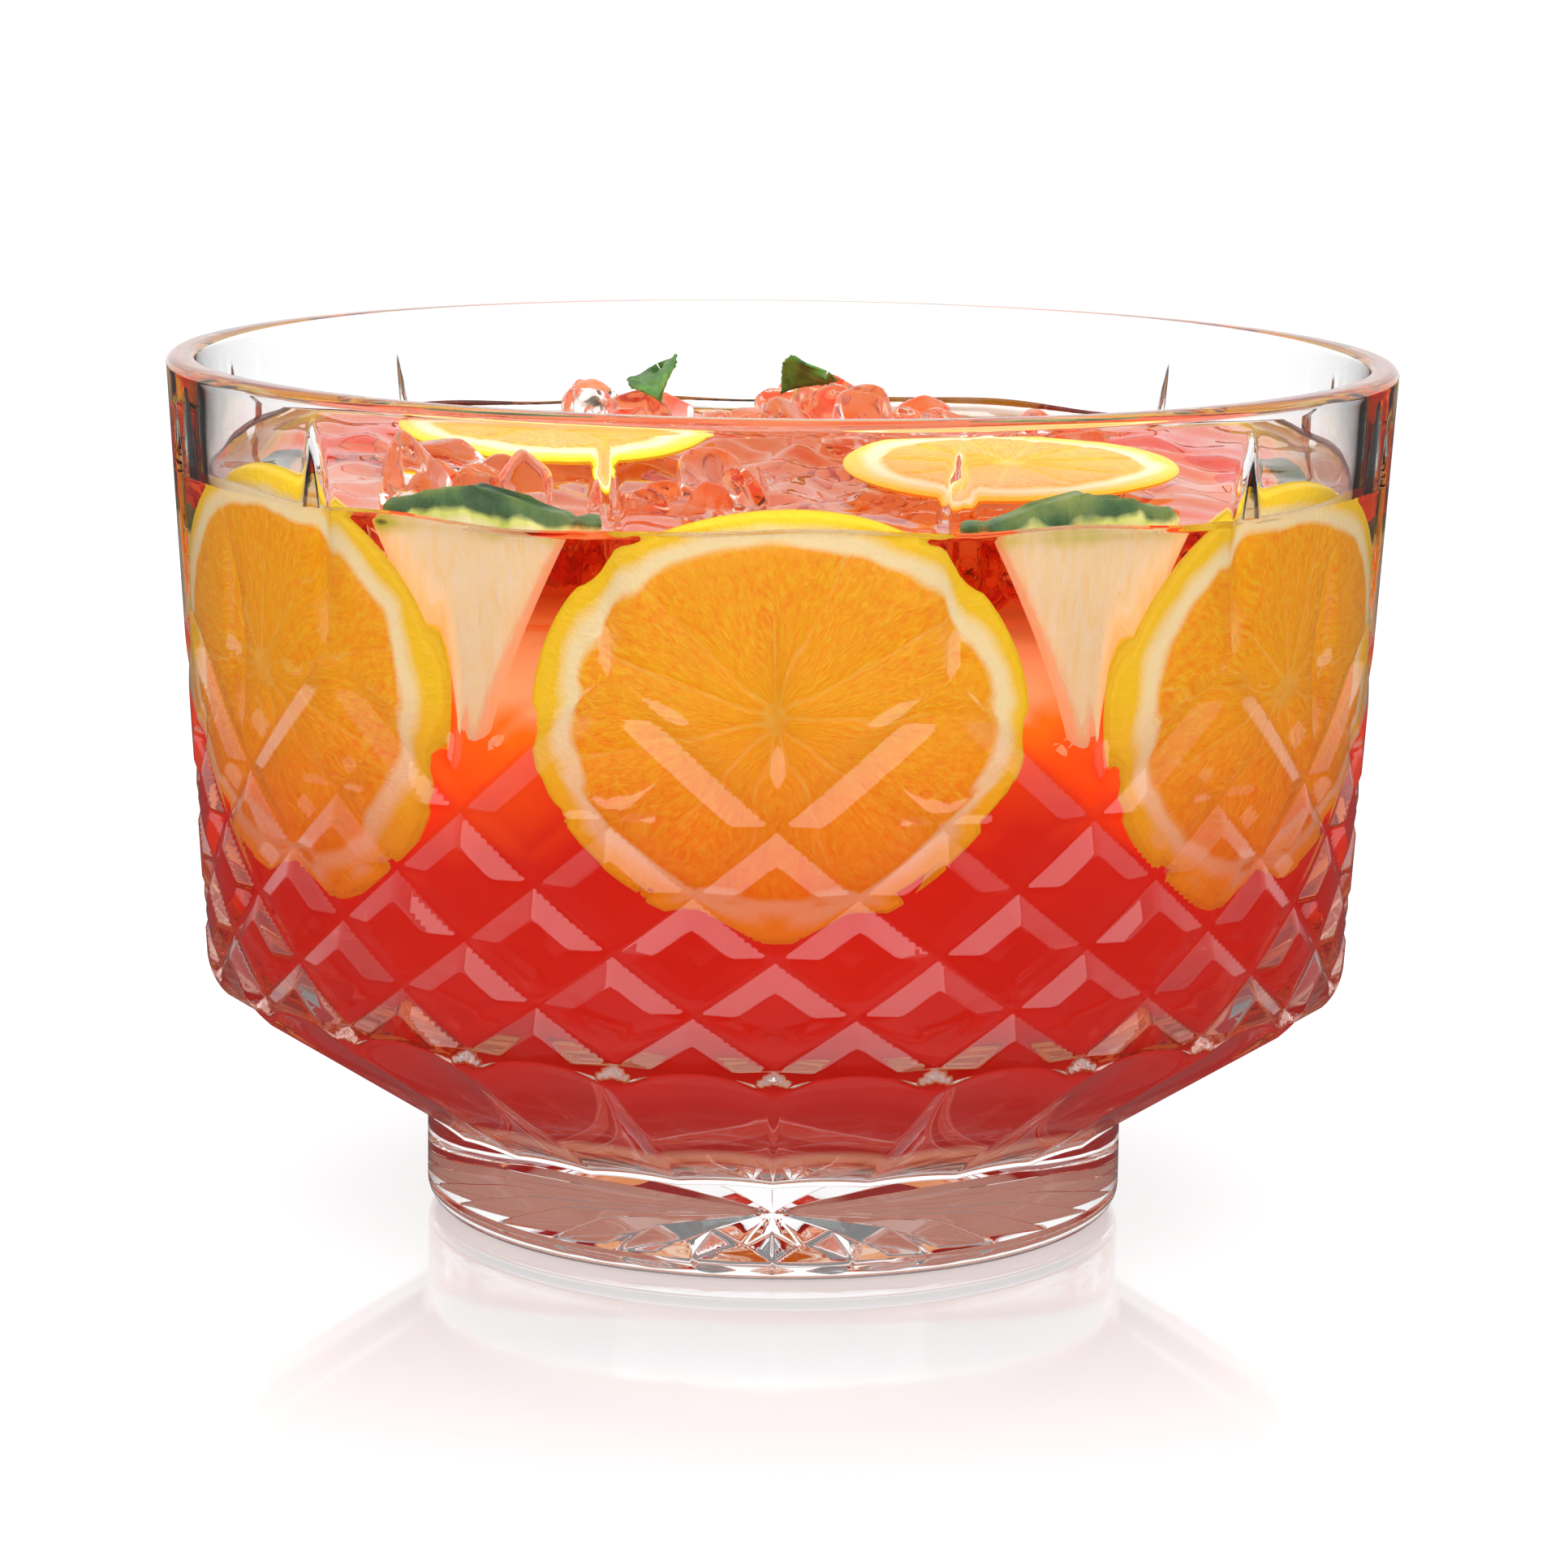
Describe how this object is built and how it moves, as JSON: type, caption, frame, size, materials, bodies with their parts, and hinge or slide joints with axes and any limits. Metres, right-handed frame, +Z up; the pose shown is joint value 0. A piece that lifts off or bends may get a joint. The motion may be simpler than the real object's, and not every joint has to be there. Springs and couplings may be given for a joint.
{
  "type": "punch bowl",
  "caption": "Footed cut-glass punch bowl with a diamond and leaf pattern, filled with red punch, orange slices, pineapple wedges and floating ice.",
  "frame": {"origin": "centre of the foot's underside, at the height of the surface it stands on", "axes": "+Z up along the bowl's axis, -Y towards the front, where a short leaf cut and an orange slice face"},
  "size_m": [0.2494, 0.2494, 0.176],
  "materials": {
    "glass": "polished clear pressed glass",
    "punch": "clear red-orange liquid",
    "orange": "wet citrus flesh",
    "pineapple": "wet pale fruit flesh",
    "ice": "wet broken ice",
    "mint": "matte leaf"
  },
  "bodies": {
    "bowl": {"glass_bowl": "glass", "punch": "punch"},
    "orange_slice_1_body": {"orange_slice_1": "orange"},
    "orange_slice_2_body": {"orange_slice_2": "orange"},
    "orange_slice_3_body": {"orange_slice_3": "orange"},
    "orange_slice_4_body": {"orange_slice_4": "orange"},
    "orange_slice_5_body": {"orange_slice_5": "orange"},
    "orange_slice_6_body": {"orange_slice_6": "orange"},
    "pineapple_wedge_1_body": {"pineapple_wedge_1": "pineapple"},
    "pineapple_wedge_2_body": {"pineapple_wedge_2": "pineapple"},
    "pineapple_wedge_3_body": {"pineapple_wedge_3": "pineapple"},
    "pineapple_wedge_4_body": {"pineapple_wedge_4": "pineapple"},
    "pineapple_wedge_5_body": {"pineapple_wedge_5": "pineapple"},
    "pineapple_wedge_6_body": {"pineapple_wedge_6": "pineapple"},
    "ice_layer": {"ice_lump_01": "ice", "ice_lump_02": "ice", "ice_lump_03": "ice", "ice_lump_04": "ice", "ice_lump_05": "ice", "ice_lump_06": "ice", "ice_lump_07": "ice", "ice_lump_08": "ice", "ice_lump_09": "ice", "ice_lump_10": "ice", "ice_lump_11": "ice", "ice_lump_12": "ice", "ice_lump_13": "ice", "ice_lump_14": "ice", "ice_lump_15": "ice", "ice_lump_16": "ice", "ice_lump_17": "ice", "ice_lump_18": "ice", "ice_lump_19": "ice", "floating_slice_1": "orange", "floating_slice_2": "orange", "mint_leaf_1": "mint", "mint_leaf_2": "mint"}
  },
  "joints": [
    {"name": "orange_slice_1_lift", "type": "slide", "parent": "bowl", "child": "orange_slice_1_body", "axis": [0, -0.0821, 0.9966], "range_m": [0, 0.13]},
    {"name": "orange_slice_2_lift", "type": "slide", "parent": "bowl", "child": "orange_slice_2_body", "axis": [0.0689, -0.0447, 0.9966], "range_m": [0, 0.13]},
    {"name": "orange_slice_3_lift", "type": "slide", "parent": "bowl", "child": "orange_slice_3_body", "axis": [0.0711, 0.0411, 0.9966], "range_m": [0, 0.13]},
    {"name": "orange_slice_4_lift", "type": "slide", "parent": "bowl", "child": "orange_slice_4_body", "axis": [0, 0.0821, 0.9966], "range_m": [0, 0.13]},
    {"name": "orange_slice_5_lift", "type": "slide", "parent": "bowl", "child": "orange_slice_5_body", "axis": [-0.0711, 0.0411, 0.9966], "range_m": [0, 0.13]},
    {"name": "orange_slice_6_lift", "type": "slide", "parent": "bowl", "child": "orange_slice_6_body", "axis": [-0.0689, -0.0447, 0.9966], "range_m": [0, 0.13]},
    {"name": "pineapple_wedge_1_lift", "type": "slide", "parent": "bowl", "child": "pineapple_wedge_1_body", "axis": [0.0435, -0.0696, 0.9966], "range_m": [0, 0.1]},
    {"name": "pineapple_wedge_2_lift", "type": "slide", "parent": "bowl", "child": "pineapple_wedge_2_body", "axis": [0.0821, -0.0029, 0.9966], "range_m": [0, 0.1]},
    {"name": "pineapple_wedge_3_lift", "type": "slide", "parent": "bowl", "child": "pineapple_wedge_3_body", "axis": [0.0411, 0.0711, 0.9966], "range_m": [0, 0.1]},
    {"name": "pineapple_wedge_4_lift", "type": "slide", "parent": "bowl", "child": "pineapple_wedge_4_body", "axis": [-0.0411, 0.0711, 0.9966], "range_m": [0, 0.1]},
    {"name": "pineapple_wedge_5_lift", "type": "slide", "parent": "bowl", "child": "pineapple_wedge_5_body", "axis": [-0.0821, -0.0029, 0.9966], "range_m": [0, 0.1]},
    {"name": "pineapple_wedge_6_lift", "type": "slide", "parent": "bowl", "child": "pineapple_wedge_6_body", "axis": [-0.0435, -0.0696, 0.9966], "range_m": [0, 0.1]},
    {"name": "ice_layer_lift", "type": "slide", "parent": "bowl", "child": "ice_layer", "axis": [0, 0, 1], "range_m": [0, 0.06]}
  ]
}
